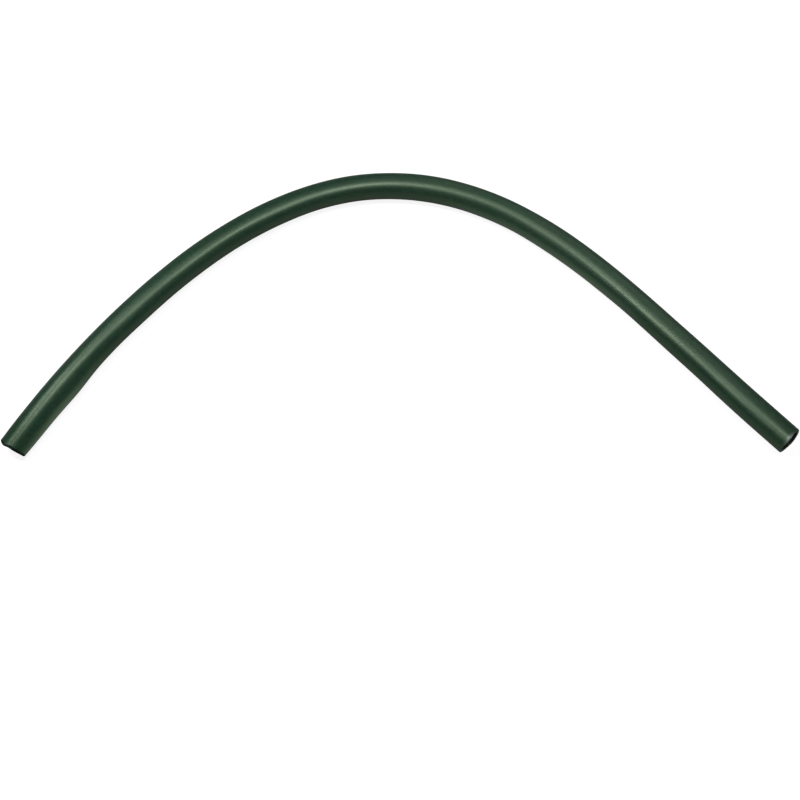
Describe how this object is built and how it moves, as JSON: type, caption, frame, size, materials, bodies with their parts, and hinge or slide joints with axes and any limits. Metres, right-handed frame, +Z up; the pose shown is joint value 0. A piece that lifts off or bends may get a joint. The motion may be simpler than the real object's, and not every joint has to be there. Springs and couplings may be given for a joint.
{
  "type": "soaker hose",
  "caption": "Cut length of plain soaker hose, lying flat in one open bend, with a round water way right through it and both ends cut off bare.",
  "frame": {"origin": "on the ground under the middle of the bend's bounding box", "axes": "+X across the bend from the left cut end to the right one, +Y towards the crown of the bend, +Z up from the ground that the hose lies on"},
  "size_m": [0.4686, 0.2021, 0.0171],
  "materials": {
    "hose_rubber": "satin dark green extruded rubber, finely pitted, with faint lines along its length"
  },
  "bodies": {
    "root": {"hose": "hose_rubber"}
  },
  "joints": []
}
